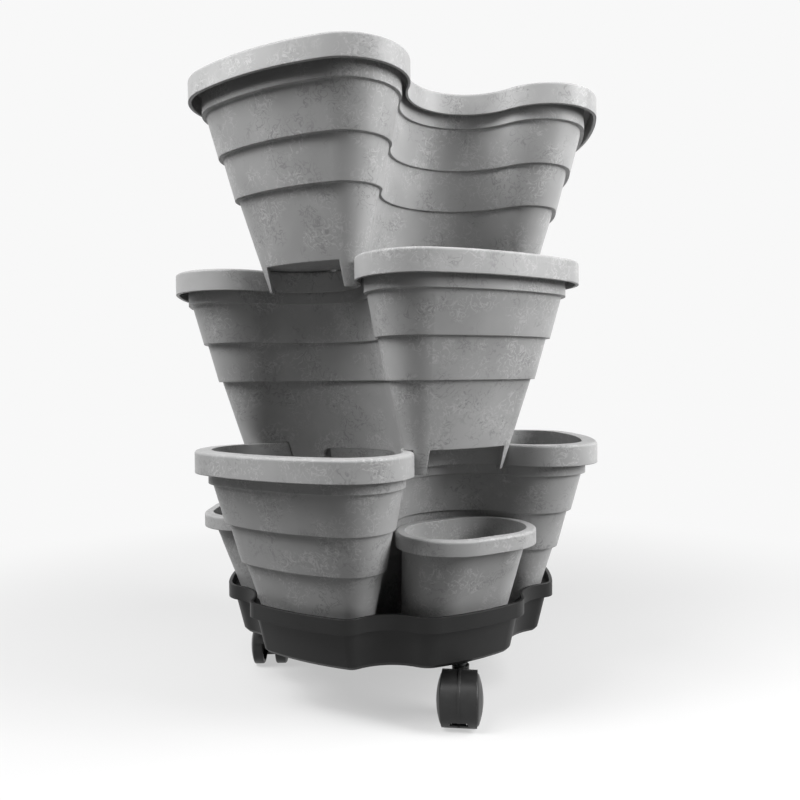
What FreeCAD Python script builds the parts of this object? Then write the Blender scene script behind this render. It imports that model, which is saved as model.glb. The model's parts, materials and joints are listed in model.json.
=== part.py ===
import FreeCAD, Part
import math
import os
import Sketcher
from FreeCAD import Placement, Rotation, Vector

# Vertical planter tower: three stacked three-lobed pots, three small pots in
# the hollows of the lowest one, a saucer under them all and three twin-wheel
# casters. The origin is on the floor, on the tower's axis. The front small
# pot and the front caster point along -Y.

SIZES = {
    # three-lobed pot, outline of its rim
    "lobe_reach": 200.0,
    "lobe_half_width": 101.5,
    "lobe_corner_radius": 51.0,
    "lobe_end_radius": 270.0,
    "valley_radius": 53.0,
    # how much each of these follows when a wall moves in by one millimetre
    "side_share": 0.87,
    "corner_share": 0.62,
    "end_share": 1.9,
    "valley_share": 0.45,
    # three-lobed pot, heights and walls
    "pot_height": 177.0,
    "rim_height": 18.8,
    "rim_wall": 2.6,
    "rim_top": 3.4,
    "rim_edge_radius": 2.4,
    "neck_inset": 10.6,
    "neck_depth": 28.5,
    "band_depth": 35.0,
    "step_inset": 3.4,
    "band_slope": 0.265,
    "foot_slope": 0.31,
    "pot_wall": 3.2,
    "pot_floor": 3.0,
    "seat_depth": 21.0,
    "seat_gap": 0.3,
    # foot of the three-lobed pot, cut to straddle the rim below it
    "rim_pass_gap": 1.4,
    "end_notch_half_width": 38.0,
    "end_notch_start": 100.0,
    "arch_half_width": 41.0,
    "arch_height": 13.5,
    "arch_radius": 6.0,
    "arch_reach": 95.0,
    "drain_diameter": 9.0,
    "drain_place": 92.0,
    # small pot
    "cup_place": 134.0,
    "cup_half_length": 62.0,
    "cup_half_depth": 47.0,
    "cup_corner_radius": 46.5,
    "cup_height": 109.0,
    "cup_rim_height": 12.5,
    "cup_rim_wall": 2.4,
    "cup_rim_top": 3.0,
    "cup_rim_edge_radius": 2.0,
    "cup_neck_inset": 5.6,
    "cup_foot_half_length": 45.0,
    "cup_foot_half_depth": 25.5,
    "cup_foot_corner_radius": 24.0,
    "cup_foot_shift": 27.5,
    "cup_wall": 2.6,
    "cup_floor": 3.0,
    "cup_drain_diameter": 8.0,
    "cup_drain_place": 22.0,
    # saucer
    "tray_reach": 158.0,
    "tray_lobe_half_width": 57.0,
    "tray_lobe_corner_radius": 14.0,
    "tray_lobe_end_radius": 260.0,
    "tray_cup_half_width": 58.0,
    "tray_cup_corner_radius": 24.0,
    "tray_cup_end_radius": 210.0,
    "tray_dent_radius": 38.0,
    "tray_side_share": 0.5,
    "tray_corner_share": 0.3,
    "tray_height": 47.0,
    "tray_band_height": 13.0,
    "tray_band_inset": 6.5,
    "tray_foot_inset": 14.5,
    "tray_wall": 3.0,
    "tray_floor": 3.0,
    "tray_foot_bevel": 3.0,
    # caster sockets under the saucer
    "caster_place": 124.0,
    "socket_diameter": 15.0,
    "socket_length": 5.0,
    "stem_diameter": 6.6,
    "stem_seat_length": 7.0,
    "stem_collar_diameter": 10.6,
    "stem_foot": 28.5,
    "stem_radial_gap": 0.05,
    # twin-wheel caster
    "caster_height": 52.5,
    "collar_gap": 0.3,
    "wheel_radius": 21.0,
    "wheel_inner_face": 6.1,
    "wheel_tread_edge": 15.2,
    "wheel_face": 19.9,
    "wheel_shoulder": 1.0,
    "trail": 17.0,
    "hood_gap": 0.8,
    "hood_shell": 1.9,
    "hood_width": 30.0,
    "hood_web": 11.0,
    "hood_hub_radius": 7.0,
    "hood_hub_overlap": 1.0,
    "hood_top": 44.0,
    "hood_boss_diameter": 15.0,
    "hood_low_angle": 42.0,
    "hood_back_angle": 165.0,
    "hood_rib_width": 2.0,
    "hood_rib_height": 0.7,
    "hood_slot_behind_hub": 4.0,
    "hood_slot_width": 15.0,
    "hood_slot_low": 5.2,
    "hood_slot_high": 9.4,
    "axle_diameter": 4.0,
    "axle_half_length": 17.0,
    "axle_radial_gap": 0.06,
}

# directions of the lobes in a pot's own frame, and of what stands between them
LOBE_ANGLES = (90.0, 210.0, 330.0)
VALLEY_ANGLES = (30.0, 150.0, 270.0)
SIDES = {270.0: "front", 150.0: "left", 30.0: "right"}
# way each caster has rolled to: 0 trails straight to the front
CASTER_TURNS = {"front": -37.0, "left": 152.0, "right": 70.0}

doc = FreeCAD.newDocument("PlanterTower")
sheet = doc.addObject("Spreadsheet::Sheet", "Sizes")
for row, (alias, value) in enumerate(SIZES.items(), start=1):
    sheet.set(f"A{row}", alias)
    sheet.set(f"B{row}", str(value))
    sheet.setAlias(f"B{row}", alias)
doc.recompute()


def size(text):
    """Value of an expression in the sheet's names."""
    return float(sheet.evalExpression(expression(text)))


def expression(text):
    """The same text with each of the sheet's names made a reference to its cell."""
    words = []
    word = ""
    for letter in text + " ":
        if letter.isalnum() or letter in "_.":
            word += letter
            continue
        words.append(f"Sizes.{word}" if word in SIZES else word)
        words.append(letter)
        word = ""
    return "".join(words).strip()


def bind(thing, path, text):
    thing.setExpression(path, expression(text))


# sketches

def new_body(label):
    body = doc.addObject("PartDesign::Body", label)
    body.Label = label
    return body


def origin_feature(body, role):
    return next(feature for feature in body.Origin.OriginFeatures if feature.Role == role)


def new_sketch(body, name, plane="XY_Plane", offset="0"):
    sketch = body.newObject("Sketcher::SketchObject", name)
    sketch.AttachmentSupport = [(origin_feature(body, plane), "")]
    sketch.MapMode = "FlatFace"
    sketch.AttachmentOffset = Placement(Vector(0, 0, size(offset)), Rotation())
    bind(sketch, "AttachmentOffset.Base.z", offset)
    return sketch


def add_named(sketch, named):
    """Adds constraints that each have a name and an expression."""
    first = sketch.ConstraintCount
    sketch.addConstraint([constraint for constraint, _, _ in named])
    for index, (_, name, text) in enumerate(named, start=first):
        sketch.renameConstraint(index, name)
        bind(sketch, f"Constraints.{name}", text)


def fix_point(geometry, position, x_text, y_text, name):
    """Constraints that hold a point at bound distances from the sketch's origin:
    those on an axis, and the named ones."""
    plain = []
    named = []
    for kind, text, axis in (("DistanceX", x_text, -2), ("DistanceY", y_text, -1)):
        value = size(text)
        if abs(value) < 1e-9:
            plain.append(Sketcher.Constraint("PointOnObject", geometry, position, axis))
            continue
        constraint = Sketcher.Constraint(kind, -1, 1, geometry, position, value)
        named.append((constraint, f"{name}_{kind[-1].lower()}", text))
    return plain, named


def add_polygon(sketch, corners, arcs=None):
    """Closed outline through bound corners. arcs gives, for the side that
    starts at a corner's number, its bound radius and whether it bulges to the
    right of the way round (1) or to the left (-1). With no radius the arc's
    centre is on the sketch's upright axis, where the side ends."""
    arcs = arcs or {}
    points = [Vector(size(x), size(y), 0) for x, y in corners]
    first = sketch.GeometryCount
    ends = []
    for number, start in enumerate(points):
        stop = points[(number + 1) % len(points)]
        if number not in arcs:
            ends.append((sketch.addGeometry(Part.LineSegment(start, stop), False), 1, 2))
            continue
        radius_text, bulge = arcs[number]
        chord = stop - start
        radius = size(radius_text) if radius_text else chord.Length ** 2 / (2 * chord.y)
        half = chord.Length / 2
        across = Vector(chord.y, -chord.x, 0).normalize() * bulge
        centre = (start + stop) / 2 - across * math.sqrt(radius ** 2 - half ** 2)
        from_stop = bulge < 0
        begin, finish = (stop, start) if from_stop else (start, stop)
        angles = [math.atan2(p.y - centre.y, p.x - centre.x) for p in (begin, finish)]
        if angles[1] < angles[0]:
            angles[1] += 2 * math.pi
        arc = Part.ArcOfCircle(Part.Circle(centre, Vector(0, 0, 1), radius), *angles)
        ends.append((sketch.addGeometry(arc, False), 2 if from_stop else 1, 1 if from_stop else 2))
    rules = []
    measures = []
    for number, (geometry, start, finish) in enumerate(ends):
        follower, follower_start, _ = ends[(number + 1) % len(ends)]
        rules.append(Sketcher.Constraint("Coincident", geometry, finish, follower, follower_start))
        plain, named = fix_point(geometry, start, *corners[number], f"corner{first}_{number}")
        rules += plain
        measures += named
        if number in arcs and arcs[number][0] is None:
            rules.append(Sketcher.Constraint("PointOnObject", geometry, 3, -2))
        elif number in arcs:
            radius_text = arcs[number][0]
            constraint = Sketcher.Constraint("Radius", geometry, size(radius_text))
            measures.append((constraint, f"radius{first}_{number}", radius_text))
    sketch.addConstraint(rules)
    add_named(sketch, measures)


def add_circle(sketch, x_text, y_text, radius_text):
    centre = Vector(size(x_text), size(y_text), 0)
    circle = sketch.addGeometry(Part.Circle(centre, Vector(0, 0, 1), size(radius_text)), False)
    plain, named = fix_point(circle, 3, x_text, y_text, f"centre{circle}")
    sketch.addConstraint(plain)
    constraint = Sketcher.Constraint("Radius", circle, size(radius_text))
    add_named(sketch, named + [(constraint, f"radius{circle}", radius_text)])


def direction(angle, along, side=0.0):
    """Point at a distance along a direction and to its left."""
    turn = math.radians(angle)
    return Vector(along * math.cos(turn) - side * math.sin(turn),
                  along * math.sin(turn) + side * math.cos(turn), 0)


def dent_centre(first, first_radius, second, second_radius):
    """Outer crossing of two circles, seen from the origin."""
    gap = second - first
    along = (gap.Length ** 2 + first_radius ** 2 - second_radius ** 2) / (2 * gap.Length)
    across = math.sqrt(first_radius ** 2 - along ** 2)
    unit = gap / gap.Length
    foot = first + unit * along
    normal = Vector(unit.y, -unit.x, 0)
    return max((foot + normal * across, foot - normal * across), key=lambda p: p.Length)


def add_lobes(sketch, lobes, dent_text):
    """Closed outline of lobes. Each lobe is its direction and the name and
    sizes of its kind: reach, half width, corner radius and end radius. A
    hollow arc of the dent radius joins each lobe to the next."""
    dent = size(dent_text)
    base = sketch.GeometryCount
    plan = []
    for angle, kind, reach_text, half_text, corner_text, end_text in lobes:
        reach, half, corner, end = (size(t) for t in (reach_text, half_text, corner_text, end_text))
        side = half - corner
        back = reach - end
        along = back + math.sqrt((end - corner) ** 2 - side ** 2)
        plan.append((angle, reach, corner, end, side, back, along))
    count = len(plan)
    centres = []
    for number in range(count):
        angle, _, corner, _, side, _, along = plan[number]
        after = plan[(number + 1) % count]
        here = direction(angle, along, side)
        there = direction(after[0], after[6], -after[4])
        centres.append(dent_centre(here, dent + corner, there, dent + after[2]))

    def arc(centre, radius, start, stop):
        begin = math.atan2(start.y - centre.y, start.x - centre.x)
        finish = math.atan2(stop.y - centre.y, stop.x - centre.x)
        if finish < begin:
            finish += 2 * math.pi
        return Part.ArcOfCircle(Part.Circle(centre, Vector(0, 0, 1), radius), begin, finish)

    shapes = []
    for number, (angle, _, corner, end, side, back, along) in enumerate(plan):
        low = direction(angle, along, -side)
        high = direction(angle, along, side)
        middle = direction(angle, back)
        before, after = centres[number - 1], centres[number]
        following = plan[(number + 1) % count]
        next_low = direction(following[0], following[6], -following[4])
        shapes.append(arc(low, corner, before, low + (low - middle)))
        shapes.append(arc(middle, end, low, high))
        shapes.append(arc(high, corner, high + (high - middle), after))
        shapes.append(arc(after, dent, next_low, high))
    sketch.addGeometry(shapes, False)
    axes = []
    for angle, reach, *_ in plan:
        line = Part.LineSegment(Vector(), direction(angle, reach))
        axes.append(sketch.addGeometry(line, True))

    rules = []
    first_of = {}
    for number, (angle, kind, *_) in enumerate(lobes):
        low, end_arc, high, hollow = (base + 4 * number + k for k in range(4))
        next_low = base + 4 * ((number + 1) % count)
        axis = axes[number]
        rules += [
            Sketcher.Constraint("Tangent", low, 2, end_arc, 1),
            Sketcher.Constraint("Tangent", end_arc, 2, high, 1),
            Sketcher.Constraint("Tangent", high, 2, hollow, 2),
            Sketcher.Constraint("Tangent", hollow, 1, next_low, 1),
            Sketcher.Constraint("Coincident", axis, 1, -1, 1),
            Sketcher.Constraint("PointOnObject", axis, 2, end_arc),
            Sketcher.Constraint("PointOnObject", end_arc, 3, axis),
            Sketcher.Constraint("Equal", high, low),
            Sketcher.Constraint("Angle", axis, math.radians((angle + 180) % 360 - 180)),
        ]
        if kind in first_of:
            like = first_of[kind]
            rules += [
                Sketcher.Constraint("Equal", end_arc, base + 4 * like + 1),
                Sketcher.Constraint("Equal", low, base + 4 * like),
                Sketcher.Constraint("Equal", axis, axes[like]),
            ]
        if number:
            rules.append(Sketcher.Constraint("Equal", hollow, base + 3))
        first_of.setdefault(kind, number)
    sketch.addConstraint(rules)

    measures = []
    for number, (_, kind, reach_text, half_text, corner_text, end_text) in enumerate(lobes):
        low, end_arc, high, _ = (base + 4 * number + k for k in range(4))
        mark = f"{base}_{number}"
        side = plan[number][4]
        for tag, corner_arc in (("low", low), ("high", high)):
            constraint = Sketcher.Constraint("Distance", corner_arc, 3, axes[number], side)
            measures.append((constraint, f"side_{tag}{mark}", f"({half_text}) - ({corner_text})"))
        if first_of[kind] != number:
            continue
        for tag, geometry, text in (("end", end_arc, end_text), ("corner", low, corner_text)):
            constraint = Sketcher.Constraint("Radius", geometry, size(text))
            measures.append((constraint, f"{tag}{mark}", text))
        constraint = Sketcher.Constraint("Distance", axes[number], size(reach_text))
        measures.append((constraint, f"reach{mark}", reach_text))
    constraint = Sketcher.Constraint("Radius", base + 3, dent)
    add_named(sketch, measures + [(constraint, f"dent{base}", dent_text)])


# features

def add_feature(body, kind, name, **properties):
    feature = body.newObject(f"PartDesign::{kind}", name)
    for key, value in properties.items():
        setattr(feature, key, value)
    return feature


def pad(body, name, sketch, length, midplane=False):
    feature = add_feature(body, "Pad", name, Profile=sketch, Length=size(length))
    if midplane:
        feature.SideType = "Symmetric"
    bind(feature, "Length", length)
    sketch.Visibility = False
    return feature


def pocket(body, name, sketch, length, forward=True):
    """Cuts the way the sketch's plane faces, or the other way. What it cuts
    is measured, so that a cut that misses the piece is noticed."""
    doc.recompute()
    before = body.Shape.Volume
    feature = add_feature(body, "Pocket", name, Profile=sketch, Length=size(length))
    feature.Reversed = forward
    bind(feature, "Length", length)
    doc.recompute()
    if body.Shape.Volume > before - 1e-3:
        raise RuntimeError(f"{name} of {body.Label} cuts nothing")
    return feature


def loft(body, name, low_sketch, high_sketch, cut=False):
    kind = "SubtractiveLoft" if cut else "AdditiveLoft"
    return add_feature(body, kind, name, Profile=low_sketch, Sections=[high_sketch], Ruled=True)


def repeat(body, name, feature, count):
    """Repeats a feature evenly round the body's upright axis."""
    pattern = body.newObject("PartDesign::PolarPattern", name)
    pattern.Originals = [feature]
    pattern.Axis = (origin_feature(body, "Z_Axis"), [""])
    pattern.Angle = 360
    pattern.Occurrences = count
    body.Tip = pattern
    return pattern


def level_edges(feature, height):
    """Names of a feature's edges that lie level at a height."""
    doc.recompute()
    names = []
    for number, edge in enumerate(feature.Shape.Edges, start=1):
        box = edge.BoundBox
        if abs(box.ZMin - height) < 1e-4 and abs(box.ZMax - height) < 1e-4:
            names.append(f"Edge{number}")
    return names


def round_level(body, name, feature, height, radius):
    fillet = add_feature(body, "Fillet", name, Radius=size(radius))
    fillet.Base = (feature, level_edges(feature, size(height)))
    bind(fillet, "Radius", radius)
    return fillet


# three-lobed pot

def pot_outline(sketch, inset, angles=LOBE_ANGLES):
    lobes = [(angle, "lobe",
              f"lobe_reach - ({inset})",
              f"lobe_half_width - side_share * ({inset})",
              f"lobe_corner_radius - corner_share * ({inset})",
              f"lobe_end_radius - end_share * ({inset})") for angle in angles]
    add_lobes(sketch, lobes, f"valley_radius + valley_share * ({inset})")


def pot_section(body, name, height, inset):
    sketch = new_sketch(body, name, offset=height)
    pot_outline(sketch, inset)
    return sketch


def pot_bands():
    """Stretches of the wall from the neck down: heights of the lower and the
    upper end and how far each lies inside the rim's outline."""
    bands = [("pot_height - neck_depth", "pot_height", "neck_inset", "neck_inset")]
    top = "pot_height - neck_depth"
    inset = "neck_inset"
    for _ in range(2):
        low = f"{top} - band_depth"
        upper = f"{inset} + step_inset"
        lower = f"{upper} + band_slope * band_depth"
        bands.append((low, top, lower, upper))
        top, inset = low, lower
    upper = f"{inset} + step_inset"
    bands.append(("0", top, f"{upper} + foot_slope * ({top})", upper))
    return bands


def inset_at(height):
    """Inset of the lowest band of the wall at a height above the foot."""
    _, top, _, upper = pot_bands()[-1]
    return f"{upper} + foot_slope * (({top}) - ({height}))"


def make_pot(label):
    body = new_body(label)
    bands = pot_bands()

    def band(number):
        low, top, lower, upper = bands[number]
        loft(body, f"Band{number}",
             pot_section(body, f"BandLow{number}", low, lower),
             pot_section(body, f"BandTop{number}", top, upper))

    foot = len(bands) - 1
    band(foot)
    loft(body, "FootHollow",
         pot_section(body, "FootHollowLow", "0", f"{inset_at('0')} + pot_wall"),
         pot_section(body, "FootHollowTop", "seat_depth", f"{inset_at('seat_depth')} + pot_wall"),
         cut=True)
    cut_foot(body)
    for number in reversed(range(foot)):
        band(number)

    rim_low = "pot_height - rim_height"
    top_low = "pot_height - rim_top"
    rim = pad(body, "RimTop", pot_section(body, "RimTopOutline", top_low, "0"), "rim_top")
    round_level(body, "RimEdge", rim, "pot_height", "rim_edge_radius")
    skirt = pot_section(body, "RimSkirtOutline", rim_low, "0")
    pot_outline(skirt, "rim_wall")
    pad(body, "RimSkirt", skirt, "rim_height - rim_top")

    floor = "seat_depth + pot_floor"
    for number in reversed(range(foot + 1)):
        low, top, lower, upper = bands[number]
        cut_low = floor if number == foot else f"{low} + pot_floor"
        cut_top = "pot_height" if number == 0 else f"{top} + pot_floor"
        cut_lower = inset_at(floor) if number == foot else lower
        loft(body, f"Inside{number}",
             pot_section(body, f"InsideLow{number}", cut_low, f"{cut_lower} + pot_wall"),
             pot_section(body, f"InsideTop{number}", cut_top, f"{upper} + pot_wall"), cut=True)
    return body


def cut_foot(body):
    """Lets the foot straddle the rim below it, and opens its drains."""
    notch = new_sketch(body, "EndNotchOutline")
    add_polygon(notch, [("0 - end_notch_half_width", "end_notch_start"),
                        ("end_notch_half_width", "end_notch_start"),
                        ("end_notch_half_width", "lobe_reach"),
                        ("0 - end_notch_half_width", "lobe_reach")])
    repeat(body, "EndNotches", pocket(body, "EndNotch", notch, "seat_depth"), 3)

    arch = new_sketch(body, "ArchOutline", "XZ_Plane")
    shoulder = "arch_height - arch_radius"
    inner = "arch_half_width - arch_radius"
    add_polygon(arch, [("0 - arch_half_width", "0 - arch_radius"),
                       ("arch_half_width", "0 - arch_radius"),
                       ("arch_half_width", shoulder), (inner, "arch_height"),
                       (f"0 - ({inner})", "arch_height"), ("0 - arch_half_width", shoulder)],
                {2: ("arch_radius", 1), 4: ("arch_radius", 1)})
    repeat(body, "Arches", pocket(body, "Arch", arch, "arch_reach"), 3)

    passage = new_sketch(body, "RimPassageOutline")
    pot_outline(passage, "0 - rim_pass_gap", VALLEY_ANGLES)
    pot_outline(passage, "neck_inset + pot_wall + rim_pass_gap", VALLEY_ANGLES)
    pocket(body, "RimPassage", passage, "seat_depth")

    hole = new_sketch(body, "DrainOutline", offset="seat_depth")
    add_circle(hole, "0", "drain_place", "drain_diameter / 2")
    repeat(body, "Drains", pocket(body, "Drain", hole, "pot_floor + seat_gap"), 3)


# small pot

def rounded_outline(sketch, half_length, half_depth, corner, shift="0"):
    """Rounded rectangle about a point that lies shift inside the origin."""
    x_in, y_in = f"{half_length} - ({corner})", f"{half_depth} - ({corner})"

    def corner_points(x_sign, y_sign):
        x_far = f"0 {x_sign} ({half_length})"
        x_near = f"0 {x_sign} ({x_in})"
        y_far = f"{shift} {y_sign} ({half_depth})"
        y_near = f"{shift} {y_sign} ({y_in})"
        return x_far, x_near, y_far, y_near

    corners = []
    x_far, x_near, y_far, y_near = corner_points("+", "-")
    corners += [(x_near, y_far), (x_far, y_near)]
    x_far, x_near, y_far, y_near = corner_points("+", "+")
    corners += [(x_far, y_near), (x_near, y_far)]
    x_far, x_near, y_far, y_near = corner_points("-", "+")
    corners += [(x_near, y_far), (x_far, y_near)]
    x_far, x_near, y_far, y_near = corner_points("-", "-")
    corners += [(x_far, y_near), (x_near, y_far)]
    add_polygon(sketch, corners, {number: (corner, 1) for number in (0, 2, 4, 6)})


def cup_rim_section(body, name, height, inset):
    sketch = new_sketch(body, name, offset=height)
    rounded_outline(sketch, f"cup_half_length - ({inset})", f"cup_half_depth - ({inset})",
                    f"cup_corner_radius - ({inset})")
    return sketch


def cup_wall_section(body, name, height, inset):
    """Section of the small pot's wall, between its foot and its neck."""
    sketch = new_sketch(body, name, offset=height)
    part = f"({height}) / cup_height"

    def between(foot, neck):
        return f"{foot} + (({neck}) - {foot}) * {part} - ({inset})"

    rounded_outline(sketch,
                    between("cup_foot_half_length", "cup_half_length - cup_neck_inset"),
                    between("cup_foot_half_depth", "cup_half_depth - cup_neck_inset"),
                    between("cup_foot_corner_radius", "cup_corner_radius - cup_neck_inset"),
                    f"cup_foot_shift * (1 - {part})")
    return sketch


def make_cup(label):
    body = new_body(label)
    rim_low = "cup_height - cup_rim_height"
    rim = pad(body, "Rim", cup_rim_section(body, "RimOutline", rim_low, "0"), "cup_rim_height")
    round_level(body, "RimEdge", rim, "cup_height", "cup_rim_edge_radius")
    pocket(body, "RimHollow", cup_rim_section(body, "RimHollowOutline", rim_low, "cup_rim_wall"),
           "cup_rim_height - cup_rim_top")
    loft(body, "Wall", cup_wall_section(body, "WallLow", "0", "0"),
         cup_wall_section(body, "WallTop", "cup_height", "0"))
    loft(body, "Inside", cup_wall_section(body, "InsideLow", "cup_floor", "cup_wall"),
         cup_wall_section(body, "InsideTop", "cup_height", "cup_wall"), cut=True)
    drains = new_sketch(body, "DrainOutline")
    for sign in ("+", "-"):
        add_circle(drains, f"0 {sign} cup_drain_place", "cup_foot_shift", "cup_drain_diameter / 2")
    pocket(body, "Drains", drains, "cup_floor")
    return body


# saucer

def tray_section(body, name, height, inset):
    sketch = new_sketch(body, name, offset=height)
    lobes = []
    for angle in sorted(LOBE_ANGLES + VALLEY_ANGLES):
        kind = "lobe" if angle in LOBE_ANGLES else "cup"
        lobes.append((angle, kind,
                      f"tray_reach - ({inset})",
                      f"tray_{kind}_half_width - tray_side_share * ({inset})",
                      f"tray_{kind}_corner_radius - tray_corner_share * ({inset})",
                      f"tray_{kind}_end_radius - ({inset})"))
    add_lobes(sketch, lobes, f"tray_dent_radius + tray_side_share * ({inset})")
    return sketch


def make_tray(label):
    body = new_body(label)
    band_low = "tray_height - tray_band_height"
    foot_inset = "tray_foot_inset + (tray_band_inset - tray_foot_inset) * tray_foot_bevel / tray_height"
    loft(body, "FootBevel", tray_section(body, "BevelLow", "0", f"{foot_inset} + tray_foot_bevel"),
         tray_section(body, "BevelTop", "tray_foot_bevel", foot_inset))
    loft(body, "Wall", tray_section(body, "WallLow", "tray_foot_bevel", foot_inset),
         tray_section(body, "WallTop", band_low, "tray_band_inset"))
    pad(body, "Band", tray_section(body, "BandOutline", band_low, "0"), "tray_band_height")
    loft(body, "Inside",
         tray_section(body, "InsideLow", "tray_floor", "tray_foot_inset + tray_wall"),
         tray_section(body, "InsideTop", f"{band_low} + tray_wall", "tray_band_inset + tray_wall"),
         cut=True)
    pocket(body, "BandInside",
           tray_section(body, "BandInsideOutline", f"{band_low} + tray_wall", "tray_wall"),
           "tray_band_height - tray_wall")

    socket = new_sketch(body, "SocketOutline", offset="0 - socket_length")
    add_circle(socket, "0", "0 - caster_place", "socket_diameter / 2")
    boss = pad(body, "Socket", socket, "socket_length + tray_floor")
    repeat(body, "Sockets", boss, 3)
    bore = new_sketch(body, "SocketBoreOutline", offset="0 - socket_length")
    add_circle(bore, "0", "0 - caster_place", "stem_diameter / 2")
    repeat(body, "SocketBores", pocket(body, "SocketBore", bore, "stem_seat_length"), 3)
    return body


# caster

def revolve(body, name, sketch, axis_role):
    feature = add_feature(body, "Revolution", name, Profile=sketch, Angle=360)
    feature.ReferenceAxis = (origin_feature(body, axis_role), [""])
    return feature


def make_stem(label):
    """Steel stem: pressed into the saucer's socket, with the hood turning on its foot."""
    body = new_body(label)
    profile = new_sketch(body, "Profile", "XZ_Plane")
    seat = "caster_height - socket_length"
    collar_low = "hood_top + collar_gap"
    top = f"{seat} + stem_seat_length - collar_gap"
    add_polygon(profile, [("0", "stem_foot"), ("stem_diameter / 2", "stem_foot"),
                          ("stem_diameter / 2", collar_low),
                          ("stem_collar_diameter / 2", collar_low),
                          ("stem_collar_diameter / 2", seat),
                          ("stem_diameter / 2", seat), ("stem_diameter / 2", top), ("0", top)])
    revolve(body, "Turned", profile, "Z_Axis")
    return body


def hood_point(angle_text, radius_text):
    """Point round the axle: 0 is the trailing side, 90 the top."""
    return (f"0 - trail - ({radius_text}) * cos({angle_text})",
            f"wheel_radius + ({radius_text}) * sin({angle_text})")


def make_hood(label):
    """Hood that covers the trailing side of both wheels, with its web between them."""
    body = new_body(label)
    well = "wheel_radius + hood_gap"
    outer = f"{well} + hood_shell"
    low = "0 - hood_low_angle"
    back = "hood_back_angle"
    hub_back = "trail + hood_hub_radius"

    def sector(name, inner_radius, outer_radius):
        """Sector of a ring round the axle, in two halves that meet on top."""
        sketch = new_sketch(body, name, "YZ_Plane")
        far = [hood_point(angle, outer_radius) for angle in (low, "90", back)]
        near = [hood_point(angle, inner_radius) for angle in (back, "90", low)]
        add_polygon(sketch, far + near, {0: (outer_radius, -1), 1: (outer_radius, -1),
                                         3: (inner_radius, 1), 4: (inner_radius, 1)})
        return sketch

    pad(body, "Shell", sector("ShellOutline", "hood_hub_radius - hood_hub_overlap", outer),
        "hood_width", True)
    boss = new_sketch(body, "BossOutline", offset="stem_foot")
    add_circle(boss, "0", "0", "hood_boss_diameter / 2")
    pad(body, "Boss", boss, "hood_top - stem_foot")
    for side, facing in (("Right", True), ("Left", False)):
        sign = "" if facing else "0 - "
        wheel_well = new_sketch(body, f"{side}WellOutline", "YZ_Plane", f"{sign}hood_web / 2")
        add_circle(wheel_well, "0 - trail", "wheel_radius", well)
        pocket(body, f"{side}Well", wheel_well, "hood_width", forward=facing)
    hub = new_sketch(body, "HubOutline", "YZ_Plane")
    add_circle(hub, "0 - trail", "wheel_radius", "hood_hub_radius")
    pad(body, "Hub", hub, "hood_web", True)
    rib_outer = f"{outer} + hood_rib_height"
    pad(body, "Rib", sector("RibOutline", f"{outer} - hood_rib_height", rib_outer),
        "hood_rib_width", True)

    slot = new_sketch(body, "SlotOutline", "XZ_Plane", f"{hub_back} + hood_slot_behind_hub")
    half = "hood_slot_width / 2"
    add_polygon(slot, [(f"0 - {half}", "hood_slot_low"), (half, "hood_slot_low"),
                       (half, "hood_slot_high"), (f"0 - {half}", "hood_slot_high")])
    pocket(body, "Slot", slot, "wheel_radius")
    axle_bore = new_sketch(body, "AxleBoreOutline", "YZ_Plane", "0 - hood_web / 2")
    add_circle(axle_bore, "0 - trail", "wheel_radius", "axle_diameter / 2")
    pocket(body, "AxleBore", axle_bore, "hood_web")
    stem_bore = new_sketch(body, "StemBoreOutline", offset="stem_foot - collar_gap")
    add_circle(stem_bore, "0", "0", "stem_diameter / 2 + stem_radial_gap")
    pocket(body, "StemBore", stem_bore, "hood_top - stem_foot + 2 * collar_gap")
    return body


def make_axle(label):
    axle = doc.addObject("Part::Cylinder", label)
    axle.Label = label
    bind(axle, "Radius", "axle_diameter / 2")
    bind(axle, "Height", "2 * axle_half_length")
    return axle


def make_wheel(label):
    """Wheel with its hub along +Z from the caster's middle, domed on its outer face."""
    body = new_body(label)
    profile = new_sketch(body, "Profile", "XZ_Plane")
    bore = "axle_diameter / 2 + axle_radial_gap"
    bore_end = "axle_half_length + collar_gap"
    add_polygon(profile, [(bore, "wheel_inner_face"),
                          ("wheel_radius - wheel_shoulder", "wheel_inner_face"),
                          ("wheel_radius", "wheel_inner_face + wheel_shoulder"),
                          ("wheel_radius", "wheel_tread_edge"),
                          ("wheel_radius - wheel_shoulder", "wheel_tread_edge + wheel_shoulder"),
                          ("0", "wheel_face"), ("0", bore_end), (bore, bore_end)],
                {4: (None, 1)})
    revolve(body, "Turned", profile, "Z_Axis")
    return body


# assembly

def mould(kind, label):
    """The first piece of a kind is made, and the others are mouldings from
    the same tool."""
    if kind not in patterns:
        patterns[kind] = kind(label)
        return patterns[kind]
    twin = new_body(label)
    base = twin.newObject("PartDesign::FeatureBase", "Moulding")
    base.BaseFeature = patterns[kind]
    twin.Tip = base
    return twin


def place(thing, x_text, y_text, z_text, turn=0.0, lying=None):
    """Stands a piece at a bound point, turned about the upright. What is made
    upright and lies down in the object is laid down before that."""
    upright = Rotation(Vector(0, 0, 1), turn)
    thing.Placement = Placement(Vector(), upright.multiply(lying or Rotation()))
    for axis, text in zip("xyz", (x_text, y_text, z_text)):
        bind(thing, f"Placement.Base.{axis}", text)
    pieces.append(thing)


pieces = []
patterns = {}
deck = "caster_height + tray_floor + seat_gap"
pitch = "pot_height - seat_depth + seat_gap"

place(make_tray("tray"), "0", "0", "caster_height")
for tier, label in enumerate(("lower_pot", "middle_pot", "upper_pot")):
    half_turned = tier % 2
    place(mould(make_pot, label), "0", "0", f"{deck} + {tier} * ({pitch})", 60 * half_turned)

for angle, side in SIDES.items():
    place(mould(make_cup, f"small_pot_{side}"),
          f"cup_place * cos({angle})", f"cup_place * sin({angle})", deck, angle - 270)

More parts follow.
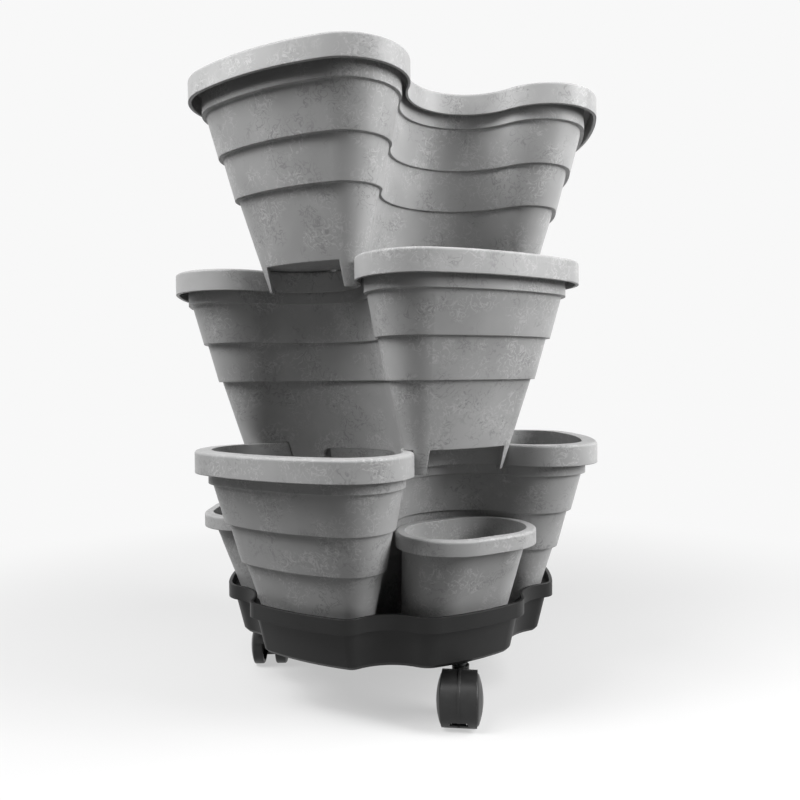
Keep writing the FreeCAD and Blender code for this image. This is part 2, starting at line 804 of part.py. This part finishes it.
across = {"right": Rotation(Vector(0, 1, 0), 90), "left": Rotation(Vector(0, 1, 0), -90)}
for angle, side in SIDES.items():
    turn = CASTER_TURNS[side]
    swivel_x = f"caster_place * cos({angle})"
    swivel_y = f"caster_place * sin({angle})"
    place(mould(make_stem, f"caster_stem_{side}"), swivel_x, swivel_y, "0", turn)
    place(mould(make_hood, f"caster_hood_{side}"), swivel_x, swivel_y, "0", turn)
    hub_x = f"{swivel_x} + trail * sin({turn})"
    hub_y = f"{swivel_y} - trail * cos({turn})"
    place(make_axle(f"caster_axle_{side}"),
          f"{hub_x} - axle_half_length * cos({turn})",
          f"{hub_y} - axle_half_length * sin({turn})", "wheel_radius", turn, across["right"])
    for hand in ("left", "right"):
        place(mould(make_wheel, f"wheel_{side}_{hand}"),
              hub_x, hub_y, "wheel_radius", turn, across[hand])

doc.recompute()
for thing in doc.Objects:
    if "Invalid" in thing.State or "Error" in thing.State:
        raise RuntimeError(f"{thing.Label} did not build: {thing.State}")
for piece in pieces:
    if piece.Shape.isNull() or not piece.Shape.isValid() or len(piece.Shape.Solids) != 1:
        raise RuntimeError(f"{piece.Label} is not one valid solid")

os.makedirs("parts", exist_ok=True)
for piece in pieces:
    piece.Shape.exportStep(f"parts/{piece.Label}.step")
    print(f"{piece.Label}: {piece.Shape.Volume / 1000:.1f} cm3, {len(piece.Shape.Faces)} faces")
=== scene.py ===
import json
import math

import bmesh
import bpy
from bpy.props import FloatProperty, FloatVectorProperty, PointerProperty
from mathutils import Matrix, Vector

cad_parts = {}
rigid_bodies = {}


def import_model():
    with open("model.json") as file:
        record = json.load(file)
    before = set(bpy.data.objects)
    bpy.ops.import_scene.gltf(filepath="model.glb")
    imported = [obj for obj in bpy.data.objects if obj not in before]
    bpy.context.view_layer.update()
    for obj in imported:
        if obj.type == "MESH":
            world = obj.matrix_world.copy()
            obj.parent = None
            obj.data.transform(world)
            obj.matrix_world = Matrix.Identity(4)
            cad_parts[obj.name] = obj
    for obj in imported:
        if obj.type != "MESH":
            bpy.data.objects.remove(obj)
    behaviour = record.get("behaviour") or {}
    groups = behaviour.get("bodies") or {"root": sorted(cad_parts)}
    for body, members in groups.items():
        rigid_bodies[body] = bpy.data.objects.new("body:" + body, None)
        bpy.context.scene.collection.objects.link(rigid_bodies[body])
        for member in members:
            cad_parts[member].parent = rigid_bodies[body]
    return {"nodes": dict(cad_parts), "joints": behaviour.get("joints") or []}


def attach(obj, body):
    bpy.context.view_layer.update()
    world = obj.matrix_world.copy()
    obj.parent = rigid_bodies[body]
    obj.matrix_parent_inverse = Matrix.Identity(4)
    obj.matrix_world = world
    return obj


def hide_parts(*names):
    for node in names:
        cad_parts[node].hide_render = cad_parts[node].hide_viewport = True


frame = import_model()

bl_info = {
    "name": "Planter Tower",
    "version": (1, 0, 0),
    "blender": (4, 5, 0),
    "location": "View3D > Sidebar > Planter",
    "description": "Finishes and detail for a stacking planter tower on casters",
    "category": "Object",
}

MM = 0.001
POTS = ("lower_pot", "middle_pot", "upper_pot")
SMALL_POTS = ("small_pot_front", "small_pot_left", "small_pot_right")
SIDES = ("front", "left", "right")
HANDS = ("left", "right")

# Each lamp's name, power in watts, size and distance in metres, azimuth and height.
LAMPS = (
    ("low left", 12.3, 0.6, 1.4, math.radians(172), math.radians(38)),
    ("high left", 14.0, 0.6, 1.4, math.radians(195), math.radians(55)),
    ("low right", 16.5, 0.6, 1.4, math.radians(308), math.radians(20)),
    ("high right", 10.5, 0.6, 1.4, math.radians(320), math.radians(45)),
)
# The lamps stand round this point, and the world adds this strength to their light.
MIDDLE = Vector((0, 0, 0.27))
AMBIENT = 0.02

# The floor is paper that turns to plain white between two distances from its middle.
# The share and the strength of that white are given at both. For light that bounces
# off it the paper is darker than the camera sees it, which keeps shaded walls dark.
FLOOR_HALF_WIDTH = 6.0
WHITE_STARTS, WHITE_ENDS = 0.3, 0.9
WHITE_SHARES, WHITE_STRENGTHS = (0.58, 1.0), (0.86, 0.94)
PAPER, PAPER_BOUNCE, BACKDROP = "#ebebeb", "#6e6e6e", "#f8f8f8"

SENSOR_WIDTH_MM = 36.0
POLYPROPYLENE_IOR, NYLON_IOR = 1.49, 1.53

# A Mix node's sockets for colours, which stand after those for numbers and vectors.
COLOUR_A, COLOUR_B, COLOUR_OUT = 6, 7, 2


def colour(hex_code):
    """Linear colour of an sRGB hex code."""
    parts = (int(hex_code[i:i + 2], 16) / 255 for i in (1, 3, 5))
    linear = [c / 12.92 if c <= 0.04045 else ((c + 0.055) / 1.055) ** 2.4 for c in parts]
    return (*linear, 1.0)


def add_node(tree, kind, values=None, links=None, **settings):
    """Adds a node with its settings, its sockets' values and what feeds them."""
    made = tree.nodes.new(kind)
    for name, value in settings.items():
        setattr(made, name, value)
    for socket, value in (values or {}).items():
        made.inputs[socket].default_value = value
    for socket, source in (links or {}).items():
        tree.links.new(source, made.inputs[socket])
    return made


def new_material(name):
    """An empty material with its output."""
    material = bpy.data.materials.new(name)
    material.use_nodes = True
    tree = material.node_tree
    tree.nodes.clear()
    return material, tree, add_node(tree, "ShaderNodeOutputMaterial")


def seen_or_reflected(tree):
    """One where the camera sees a surface, itself or reflected, and nought
    for light that falls on the object."""
    path = add_node(tree, "ShaderNodeLightPath")
    either = add_node(tree, "ShaderNodeMath", None,
                      {0: path.outputs["Is Camera Ray"], 1: path.outputs["Is Glossy Ray"]},
                      operation="MAXIMUM")
    return either.outputs["Value"]


def moulded_skin(tree, base, tone, grain, edge, relief, gloss, values, samples=6):
    """Skin of a moulding. The tool has rounded its edges and left a grain of
    some strength and depth, and its roughness follows the tone."""
    strength, depth = relief
    smoothest, roughest = gloss
    soft_edge = add_node(tree, "ShaderNodeBevel", {"Radius": edge}, samples=samples)
    bump = add_node(tree, "ShaderNodeBump", {"Strength": strength, "Distance": depth},
                    {"Height": grain, "Normal": soft_edge.outputs["Normal"]})
    rough = add_node(tree, "ShaderNodeMapRange", {"To Min": smoothest, "To Max": roughest},
                     {"Value": tone})
    skin = add_node(tree, "ShaderNodeBsdfPrincipled", values,
                    {"Base Color": base, "Roughness": rough.outputs["Result"],
                     "Normal": bump.outputs["Normal"]})
    return skin.outputs["BSDF"]


def flecks(tree, place, size, turn, patches):
    """Thin crooked lines, where a noise of this size passes its middle value,
    kept to some patches of the surface."""
    half_line, patch_size = 0.05, 26 * MM
    turned = add_node(tree, "ShaderNodeMapping", {"Rotation": turn}, {"Vector": place})
    noise = add_node(tree, "ShaderNodeTexNoise",
                     {"Scale": 1 / size, "Detail": 2.0, "Distortion": 1.2},
                     {"Vector": turned.outputs["Vector"]})
    level = add_node(tree, "ShaderNodeMath", {1: 0.5}, {0: noise.outputs["Fac"]},
                     operation="SUBTRACT")
    near = add_node(tree, "ShaderNodeMath", None, {0: level.outputs["Value"]},
                    operation="ABSOLUTE")
    line = add_node(tree, "ShaderNodeMapRange",
                    {"From Max": half_line, "To Min": 1.0, "To Max": 0.0},
                    {"Value": near.outputs["Value"]}, interpolation_type="SMOOTHSTEP")
    where = add_node(tree, "ShaderNodeTexNoise", {"Scale": 1 / patch_size, "Detail": 1.0},
                     {"Vector": turned.outputs["Vector"]})
    patch = add_node(tree, "ShaderNodeMapRange",
                     {"From Min": patches[0], "From Max": patches[1]},
                     {"Value": where.outputs["Fac"]}, interpolation_type="SMOOTHSTEP")
    return add_node(tree, "ShaderNodeMath", None,
                    {0: line.outputs["Result"], 1: patch.outputs["Result"]},
                    operation="MULTIPLY").outputs["Value"]


def stone_effect_polypropylene(looks):
    """Injection-moulded polypropylene with a stone-effect masterbatch. It is
    an even grey with faint crooked flecks a few millimetres long, in patches,
    darker and paler than the rest. The skin has a low sheen, and the tool has
    rounded every edge by a little over a millimetre."""
    material, tree, output = new_material("Stone-effect polypropylene")
    place = add_node(tree, "ShaderNodeTexCoord").outputs["Object"]
    clouds = add_node(tree, "ShaderNodeTexNoise", {"Scale": 1 / (60 * MM), "Detail": 3.0},
                      {"Vector": place}).outputs["Fac"]
    tone = add_node(tree, "ShaderNodeMapRange", {"From Min": 0.34, "From Max": 0.66},
                    {"Value": clouds})
    base = add_node(tree, "ShaderNodeMix",
                    {COLOUR_A: colour(looks.pot_dark), COLOUR_B: colour(looks.pot_pale)},
                    {0: tone.outputs["Result"]}, data_type="RGBA").outputs[COLOUR_OUT]
    for tint, size, turn, patches in (
            (looks.fleck_dark, 8.0 * MM, (0.3, 0.5, 0.1), (0.46, 0.62)),
            (looks.fleck_pale, 7.0 * MM, (1.1, 0.2, 0.9), (0.44, 0.60))):
        base = add_node(tree, "ShaderNodeMix", {COLOUR_B: colour(tint)},
                        {0: flecks(tree, place, size, turn, patches), COLOUR_A: base},
                        data_type="RGBA").outputs[COLOUR_OUT]
    grain = add_node(tree, "ShaderNodeTexNoise", {"Scale": 1 / (1.3 * MM), "Detail": 2.0},
                     {"Vector": place}).outputs["Fac"]
    skin = moulded_skin(tree, base, clouds, grain, looks.pot_edge, (0.1, 0.15 * MM), (0.36, 0.46),
                        {"IOR": POLYPROPYLENE_IOR, "Specular IOR Level": 0.2}, samples=8)
    tree.links.new(skin, output.inputs["Surface"])
    return material


def charcoal_polypropylene(looks):
    """Injection-moulded polypropylene in charcoal, with a fine spark-eroded
    grain and a faint dustiness that lifts its colour in patches."""
    material, tree, output = new_material("Charcoal polypropylene")
    place = add_node(tree, "ShaderNodeTexCoord").outputs["Object"]
    patches = add_node(tree, "ShaderNodeTexNoise", {"Scale": 1 / (30 * MM), "Detail": 4.0},
                       {"Vector": place}).outputs["Fac"]
    base = add_node(tree, "ShaderNodeMix",
                    {COLOUR_A: colour(looks.tray_dark), COLOUR_B: colour(looks.tray_pale)},
                    {0: patches}, data_type="RGBA").outputs[COLOUR_OUT]
    grain = add_node(tree, "ShaderNodeTexNoise", {"Scale": 1 / (1.2 * MM), "Detail": 2.0},
                     {"Vector": place}).outputs["Fac"]
    skin = moulded_skin(tree, base, patches, grain, 1.0 * MM, (0.2, 0.2 * MM), (0.36, 0.5),
                        {"IOR": POLYPROPYLENE_IOR, "Specular IOR Level": 0.22})
    tree.links.new(skin, output.inputs["Surface"])
    return material


def black_nylon(looks):
    """Injection-moulded glass-filled nylon. It is near black, with a satin
    skin and short scuffs where the wheels have rolled."""
    material, tree, output = new_material("Black nylon")
    place = add_node(tree, "ShaderNodeTexCoord").outputs["Object"]
    scuffs = add_node(tree, "ShaderNodeTexNoise",
                      {"Scale": 1 / (7 * MM), "Detail": 6.0, "Roughness": 0.7},
                      {"Vector": place}).outputs["Fac"]
    base = add_node(tree, "ShaderNodeMix",
                    {COLOUR_A: colour(looks.nylon_dark), COLOUR_B: colour(looks.nylon_pale)},
                    {0: scuffs}, data_type="RGBA").outputs[COLOUR_OUT]
    skin = moulded_skin(tree, base, scuffs, scuffs, 0.7 * MM, (0.15, 0.15 * MM), (0.28, 0.45),
                        {"IOR": NYLON_IOR, "Specular IOR Level": 0.32})
    tree.links.new(skin, output.inputs["Surface"])
    return material


def zinc_plate(looks):
    """Black zinc-plated steel: a dark grey metal with the cloudy patches that
    the passivated plating of a turned pin has."""
    material, tree, output = new_material("Black zinc-plated steel")
    place = add_node(tree, "ShaderNodeTexCoord").outputs["Object"]
    clouds = add_node(tree, "ShaderNodeTexNoise", {"Scale": 1 / (3 * MM), "Detail": 4.0},
                      {"Vector": place}).outputs["Fac"]
    base = add_node(tree, "ShaderNodeMix",
                    {COLOUR_A: colour(looks.zinc_dark), COLOUR_B: colour(looks.zinc_pale)},
                    {0: clouds}, data_type="RGBA").outputs[COLOUR_OUT]
    gloss = add_node(tree, "ShaderNodeMapRange", {"To Min": 0.25, "To Max": 0.42},
                     {"Value": clouds})
    skin = add_node(tree, "ShaderNodeBsdfPrincipled", {"Metallic": 1.0},
                    {"Base Color": base, "Roughness": gloss.outputs["Result"]})
    tree.links.new(skin.outputs["BSDF"], output.inputs["Surface"])
    return material


def give(names, material):
    """Puts a material on carried-over nodes."""
    for name in names:
        for slot in frame["nodes"][name].material_slots:
            slot.material = material


def joint_named(name):
    """The frame's joint of this name."""
    return next(joint for joint in frame["joints"] if joint["name"] == name)


def sharp_edges(bm, angle):
    """The edges at which a closed surface turns by more than an angle."""
    return [edge for edge in bm.edges if edge.is_manifold and edge.calc_face_angle() > angle]


def round_edges(bm, edges, width):
    """Rounds the edges of a moulding, and shades its faces smooth."""
    bmesh.ops.bevel(bm, geom=edges, offset=width, offset_type="OFFSET", affect="EDGES",
                    segments=3, profile=0.5, material=-1, clamp_overlap=True)
    for face in bm.faces:
        face.smooth = True


def new_piece(context, name, bm, material):
    """An object at the origin that holds this shape."""
    mesh = bpy.data.meshes.new(name)
    bm.to_mesh(mesh)
    bm.free()
    mesh.materials.append(material)
    piece = bpy.data.objects.new(name, mesh)
    context.collection.objects.link(piece)
    return piece


def hex_property(name, text, default):
    """A colour that a user may change, as an sRGB hex code."""
    return bpy.props.StringProperty(name=name, description=text, default=default, maxlen=7)


def length_property(name, text, millimetres):
    """A length that a user may change, given in millimetres."""
    return FloatProperty(name=name, description=text, default=millimetres * MM, min=0.0,
                         subtype="DISTANCE", unit="LENGTH")


def angle_property(name, text, degrees):
    """An angle that a user may change, given in degrees."""
    return FloatProperty(name=name, description=text, default=math.radians(degrees),
                         subtype="ANGLE", unit="ROTATION")


class PlanterLooks(bpy.types.PropertyGroup):
    """Colours of the plastics and the steel"""
    pot_dark: hex_property("Pot dark", "Darker clouds of the pots' plastic", "#a0a0a0")
    pot_pale: hex_property("Pot pale", "Paler clouds of the pots' plastic", "#aeaeae")
    fleck_dark: hex_property("Dark flecks", "Darker flecks of the pots' plastic", "#939393")
    fleck_pale: hex_property("Pale flecks", "Paler flecks of the pots' plastic", "#bababa")
    pot_edge: length_property("Pot edge", "Rounding of the pots' moulded edges", 1.3)
    tray_dark: hex_property("Saucer dark", "Darker patches of the saucer", "#202020")
    tray_pale: hex_property("Saucer pale", "Paler patches of the saucer", "#2a2a2a")
    nylon_dark: hex_property("Caster dark", "Darker parts of the casters' nylon", "#1e1e1e")
    nylon_pale: hex_property("Caster pale", "Paler parts of the casters' nylon", "#303030")
    zinc_dark: hex_property("Steel dark", "Darker clouds of the pins' plating", "#3a3b3c")
    zinc_pale: hex_property("Steel pale", "Paler clouds of the pins' plating", "#5c5d5e")


class HoodSizes(bpy.types.PropertyGroup):
    """Sizes of the sill under each hood's slot"""
    inner: length_property("Inner radius", "From the axle to the sill's inner face", 21.95)
    outer: length_property("Outer radius", "From the axle to the sill's outer face", 23.55)
    width: length_property("Width", "Width of the hood's sill", 29.6)
    web_width: length_property("Web width", "Width of the web between the wheels", 11.8)
    web_inner: length_property("Web inner radius", "From the axle to the web's inner end", 9.5)
    taper: FloatProperty(name="Taper", description="Width of the sill's end over that of its start",
                         default=0.8, min=0.1, max=1.0)
    edge: length_property("Edge", "Rounding of the sill's edges", 0.3)
    start: angle_property("Start", "Angle below the axle at which the sill starts", 40.5)
    end: angle_property("End", "Angle below the axle at which the sill ends", 52.0)


class WheelSizes(bpy.types.PropertyGroup):
    """Sizes of a caster's wheel"""
    radius: length_property("Radius", "Radius of a wheel's tread", 21.0)
    inner_face: length_property("Inner face", "From the caster's middle to the inner face", 6.1)
    tread_edge: length_property("Tread edge", "From the caster's middle to the tread's edge", 16.2)
    face: length_property("Face", "From the caster's middle to the top of the domed face", 19.9)
    bore: length_property("Bore", "Radius of the bore for the axle", 2.06)
    bore_end: length_property("Bore end", "From the caster's middle to the bore's end", 17.3)
    well_radius: length_property("Well", "Radius of the shallow well in the inner face", 17.5)
    boss_radius: length_property("Boss", "Radius of the boss round the bore", 5.5)
    well_depth: length_property("Well depth", "Depth of the well in the inner face", 3.0)
    ring_radius: length_property("Ring", "Radius of the ring groove in the domed face", 14.0)
    cap_radius: length_property("Cap", "Radius of the groove round the face's middle", 5.0)
    groove: length_property("Groove", "Depth of the grooves in the face", 0.35)
    edge: length_property("Edge", "Rounding of the moulded edges", 0.25)
    shoulder: length_property("Shoulder", "Slope at each edge of the tread", 1.0)


class StageSizes(bpy.types.PropertyGroup):
    """Where the camera stands and how it looks"""
    eye: FloatVectorProperty(name="Eye", description="Place of the camera", size=3,
                             default=(-0.3604, -0.6557, 0.2923), subtype="XYZ_LENGTH",
                             unit="LENGTH")
    azimuth: angle_property("Azimuth", "Way the camera looks, right of +Y", 29.655)
    pitch: angle_property("Pitch", "How far the camera looks up", -1.649)
    roll: angle_property("Roll", "Turn of the picture", -0.604)
    lens: FloatProperty(name="Lens", description="Focal length in millimetres", default=33.57,
                        min=10.0)


class PLANTER_OT_stage(bpy.types.Operator):
    """Floor, lamps, backdrop and camera"""
    bl_idname = "planter.stage"
    bl_label = "Stage"

    def execute(self, context):
        self.add_floor(context)
        self.add_lamps(context)
        self.add_backdrop(context)
        self.add_camera(context)
        context.scene.view_settings.view_transform = "Standard"
        return {"FINISHED"}

    def add_floor(self, context):
        bm = bmesh.new()
        bmesh.ops.create_grid(bm, x_segments=1, y_segments=1, size=FLOOR_HALF_WIDTH)
        floor = new_piece(context, "floor", bm, self.studio_paper())

    def studio_paper(self):
        """White paper that holds the object's shadow and fades to plain white."""
        material, tree, output = new_material("White studio paper")
        place = add_node(tree, "ShaderNodeTexCoord").outputs["Object"]
        reach = add_node(tree, "ShaderNodeVectorMath", None, {0: place}, operation="LENGTH")

        def fades(near, far):
            """A value that goes from near to far as the paper turns white."""
            return add_node(tree, "ShaderNodeMapRange",
                            {"From Min": WHITE_STARTS, "From Max": WHITE_ENDS,
                             "To Min": near, "To Max": far},
                            {"Value": reach.outputs["Value"]},
                            interpolation_type="SMOOTHSTEP").outputs["Result"]

        seen = seen_or_reflected(tree)
        tint = add_node(tree, "ShaderNodeMix",
                        {COLOUR_A: colour(PAPER_BOUNCE), COLOUR_B: colour(PAPER)},
                        {0: seen}, data_type="RGBA")
        paper = add_node(tree, "ShaderNodeBsdfDiffuse", None, {"Color": tint.outputs[COLOUR_OUT]})
        whiteness = add_node(tree, "ShaderNodeMath", None, {0: fades(*WHITE_SHARES), 1: seen},
                             operation="MULTIPLY")
        white = add_node(tree, "ShaderNodeEmission", {"Color": (1, 1, 1, 1)},
                         {"Strength": fades(*WHITE_STRENGTHS)})
        mix = add_node(tree, "ShaderNodeMixShader", None,
                       {0: whiteness.outputs["Value"], 1: paper.outputs["BSDF"],
                        2: white.outputs["Emission"]})
        tree.links.new(mix.outputs["Shader"], output.inputs["Surface"])
        return material

    def add_lamps(self, context):
        for name, power, size, distance, azimuth, height in LAMPS:
            way = Vector((math.cos(azimuth) * math.cos(height),
                          math.sin(azimuth) * math.cos(height), math.sin(height)))
            light = bpy.data.lights.new(name, "AREA")
            light.energy = power
            light.size = size
            lamp = bpy.data.objects.new(name, light)
            lamp.location = MIDDLE + way * distance
            lamp.rotation_euler = (-way).to_track_quat("-Z", "Y").to_euler()
            lamp.visible_camera = False
            context.collection.objects.link(lamp)

    def add_backdrop(self, context):
        world = bpy.data.worlds.new("Backdrop")
        context.scene.world = world
        world.use_nodes = True
        tree = world.node_tree
        tree.nodes.clear()
        soft = add_node(tree, "ShaderNodeBackground", {"Color": (1, 1, 1, 1), "Strength": AMBIENT})
        white = add_node(tree, "ShaderNodeBackground", {"Color": colour(BACKDROP), "Strength": 1.0})
        mix = add_node(tree, "ShaderNodeMixShader", None,
                       {0: seen_or_reflected(tree), 1: soft.outputs["Background"],
                        2: white.outputs["Background"]})
        add_node(tree, "ShaderNodeOutputWorld", None, {"Surface": mix.outputs["Shader"]})

    def add_camera(self, context):
        sizes = context.scene.planter_stage
        optics = bpy.data.cameras.new("camera")
        optics.sensor_width = SENSOR_WIDTH_MM
        optics.lens = sizes.lens
        camera = bpy.data.objects.new("camera", optics)
        level = Matrix.Rotation(math.pi / 2, 3, "X")
        turn = (Matrix.Rotation(-sizes.azimuth, 3, "Z") @ Matrix.Rotation(sizes.pitch, 3, "X")
                @ level @ Matrix.Rotation(sizes.roll, 3, "Z"))
        camera.matrix_world = Matrix.Translation(sizes.eye) @ turn.to_4x4()
        context.collection.objects.link(camera)
        context.scene.camera = camera


class PLANTER_OT_pots(bpy.types.Operator):
    """Finish of the three-lobed pots and the small pots"""
    bl_idname = "planter.pots"
    bl_label = "Pots"

    def execute(self, context):
        give(POTS + SMALL_POTS, stone_effect_polypropylene(context.scene.planter_looks))
        return {"FINISHED"}


class PLANTER_OT_saucer(bpy.types.Operator):
    """Finish of the saucer"""
    bl_idname = "planter.saucer"
    bl_label = "Saucer"

    def execute(self, context):
        give(("tray",), charcoal_polypropylene(context.scene.planter_looks))
        return {"FINISHED"}


class PLANTER_OT_casters(bpy.types.Operator):
    """Finish of the casters"""
    bl_idname = "planter.casters"
    bl_label = "Casters"

    def execute(self, context):
        looks = context.scene.planter_looks
        nylon, zinc = black_nylon(looks), zinc_plate(looks)
        for side in SIDES:
            give((f"caster_hood_{side}",), nylon)
            give((f"caster_stem_{side}", f"caster_axle_{side}"), zinc)
        return {"FINISHED"}


class PLANTER_OT_hood_sills(bpy.types.Operator):
    """Sill that closes each hood under its slot, curved round the wheels"""
    bl_idname = "planter.hood_sills"
    bl_label = "Hood sills"

    def section(self, sizes):
        """Section of the sill with its web, as radius from the axle and
        distance along it."""
        half, web = sizes.width / 2, sizes.web_width / 2
        return ((sizes.web_inner, -web), (sizes.inner, -web), (sizes.inner, -half),
                (sizes.outer, -half), (sizes.outer, half), (sizes.inner, half),
                (sizes.inner, web), (sizes.web_inner, web))

    def swept(self, sizes, hub, axle, behind):
        """Section swept down round the axle, from behind the hub."""
        bm = bmesh.new()
        corners = [bm.verts.new(hub + behind * radius + axle * across)
                   for radius, across in self.section(sizes)]
        face = bm.faces.new(corners)
        down = axle if axle.cross(behind).z < 0 else -axle
        bmesh.ops.rotate(bm, verts=bm.verts, cent=hub, matrix=Matrix.Rotation(sizes.start, 3, down))
        spun = bmesh.ops.spin(bm, geom=[face] + list(face.edges) + corners, cent=hub, axis=down,
                              dvec=(0, 0, 0), angle=sizes.end - sizes.start, steps=8,
                              use_merge=False, use_normal_flip=False, use_duplicate=False)
        end = [item for item in spun["geom_last"] if isinstance(item, bmesh.types.BMVert)]
        narrowed = (Matrix.Translation(hub) @ Matrix.Scale(sizes.taper, 4, axle)
                    @ Matrix.Translation(-hub))
        bmesh.ops.transform(bm, matrix=narrowed, verts=end)
        bmesh.ops.recalc_face_normals(bm, faces=bm.faces)
        round_edges(bm, sharp_edges(bm, math.radians(40)), sizes.edge)
        return bm

    def execute(self, context):
        sizes = context.scene.planter_hood
        nylon = black_nylon(context.scene.planter_looks)
        for side in SIDES:
            joint = joint_named(f"wheel_{side}_right_spin")
            swivel = Vector(joint_named(f"caster_{side}_swivel")["pos_m"])
            hub = Vector(joint["pos_m"])
            axle = Vector(joint["axis"]).normalized()
            behind = Vector((hub.x - swivel.x, hub.y - swivel.y, 0)).normalized()
            sill = new_piece(context, f"hood_sill_{side}", self.swept(sizes, hub, axle, behind),
                             nylon)
            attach(sill, joint["parent"])
        return {"FINISHED"}


class PLANTER_OT_wheels(bpy.types.Operator):
    """Caster wheels with a domed, grooved face and a boss in a shallow well"""
    bl_idname = "planter.wheels"
    bl_label = "Wheels"

    def profile(self, sizes):
        """Half section from the bore's end round to the dome's top, as radius
        and distance from the caster's middle."""
        rim = sizes.radius - sizes.shoulder
        rise = sizes.face - sizes.tread_edge
        dome = (rim ** 2 + rise ** 2) / (2 * rise)
        ring_steps, cap_steps = 4, 3

        def on_dome(radius, sunk=0.0):
            return radius, sizes.face - dome + math.sqrt(dome ** 2 - radius ** 2) - sunk

        well_floor = sizes.inner_face + sizes.well_depth
        points = [(0.0, sizes.bore_end), (sizes.bore, sizes.bore_end),
                  (sizes.bore, sizes.inner_face), (sizes.boss_radius, sizes.inner_face),
                  (sizes.boss_radius, well_floor), (sizes.well_radius, well_floor),
                  (sizes.well_radius, sizes.inner_face), (rim, sizes.inner_face),
                  (sizes.radius, sizes.inner_face + sizes.shoulder),
                  (sizes.radius, sizes.tread_edge - sizes.shoulder), on_dome(rim)]
        reached = rim
        for middle in (sizes.ring_radius, sizes.cap_radius):
            outer_lip, inner_lip = middle + sizes.groove, middle - sizes.groove
            for step in range(1, ring_steps + 1):
                points.append(on_dome(reached + (outer_lip - reached) * step / ring_steps))
            points += [on_dome(middle, sizes.groove), on_dome(inner_lip)]
            reached = inner_lip
        return points + [on_dome(reached * (1 - step / cap_steps))
                         for step in range(1, cap_steps + 1)]

    def turned(self, sizes, joint, hand):
        """Section turned round the wheel's axle and laid where it turns."""
        bm = bmesh.new()
        verts = [bm.verts.new((radius, 0.0, along)) for radius, along in self.profile(sizes)]
        edges = [bm.edges.new(pair) for pair in zip(verts, verts[1:])]
        bmesh.ops.spin(bm, geom=verts + edges, cent=(0, 0, 0), axis=(0, 0, 1), dvec=(0, 0, 0),
                       angle=math.tau, steps=96, use_merge=True, use_normal_flip=False,
                       use_duplicate=False)
        bmesh.ops.remove_doubles(bm, verts=bm.verts, dist=0.01 * MM)
        bmesh.ops.recalc_face_normals(bm, faces=bm.faces)
        # The bore's own edges stay sharp.
        beside_bore = 1.2 * sizes.bore
        moulded = [edge for edge in sharp_edges(bm, math.radians(25))
                   if max(vert.co.xy.length for vert in edge.verts) > beside_bore]
        round_edges(bm, moulded, sizes.edge)
        for edge in bm.edges:
            edge.smooth = edge.calc_face_angle(0.0) < math.radians(35)
        outwards = Vector(joint["axis"]) * (1 if hand == "right" else -1)
        lie = outwards.to_track_quat("Z", "Y").to_matrix().to_4x4()
        bmesh.ops.transform(bm, matrix=Matrix.Translation(Vector(joint["pos_m"])) @ lie,
                            verts=bm.verts)
        return bm

    def execute(self, context):
        sizes = context.scene.planter_wheels
        nylon = black_nylon(context.scene.planter_looks)
        for side in SIDES:
            for hand in HANDS:
                joint = joint_named(f"wheel_{side}_{hand}_spin")
                wheel = new_piece(context, f"domed_wheel_{side}_{hand}",
                                  self.turned(sizes, joint, hand), nylon)
                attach(wheel, joint["child"])
                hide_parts(f"wheel_{side}_{hand}")
        return {"FINISHED"}


class PLANTER_PT_panel(bpy.types.Panel):
    """Sizes and steps of the planter tower"""
    bl_label = "Planter tower"
    bl_space_type = "VIEW_3D"
    bl_region_type = "UI"
    bl_category = "Planter"

    def draw(self, context):
        scene = context.scene
        for operator in OPERATORS:
            self.layout.operator(operator.bl_idname)
        for group in (scene.planter_looks, scene.planter_hood, scene.planter_wheels,
                      scene.planter_stage):
            for name in group.bl_rna.properties.keys():
                if name not in ("rna_type", "name"):
                    self.layout.prop(group, name)


OPERATORS = (PLANTER_OT_stage, PLANTER_OT_pots, PLANTER_OT_saucer, PLANTER_OT_casters,
             PLANTER_OT_hood_sills, PLANTER_OT_wheels)
CLASSES = (PlanterLooks, HoodSizes, WheelSizes, StageSizes) + OPERATORS + (PLANTER_PT_panel,)


def register():
    for cls in CLASSES:
        bpy.utils.register_class(cls)
    bpy.types.Scene.planter_looks = PointerProperty(type=PlanterLooks)
    bpy.types.Scene.planter_hood = PointerProperty(type=HoodSizes)
    bpy.types.Scene.planter_wheels = PointerProperty(type=WheelSizes)
    bpy.types.Scene.planter_stage = PointerProperty(type=StageSizes)


def unregister():
    del bpy.types.Scene.planter_stage
    del bpy.types.Scene.planter_wheels
    del bpy.types.Scene.planter_hood
    del bpy.types.Scene.planter_looks
    for cls in reversed(CLASSES):
        bpy.utils.unregister_class(cls)


def main():
    register()
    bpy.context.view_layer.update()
    for operator in OPERATORS:
        group, name = operator.bl_idname.split(".")
        getattr(getattr(bpy.ops, group), name)()


if __name__ == "__main__":
    main()
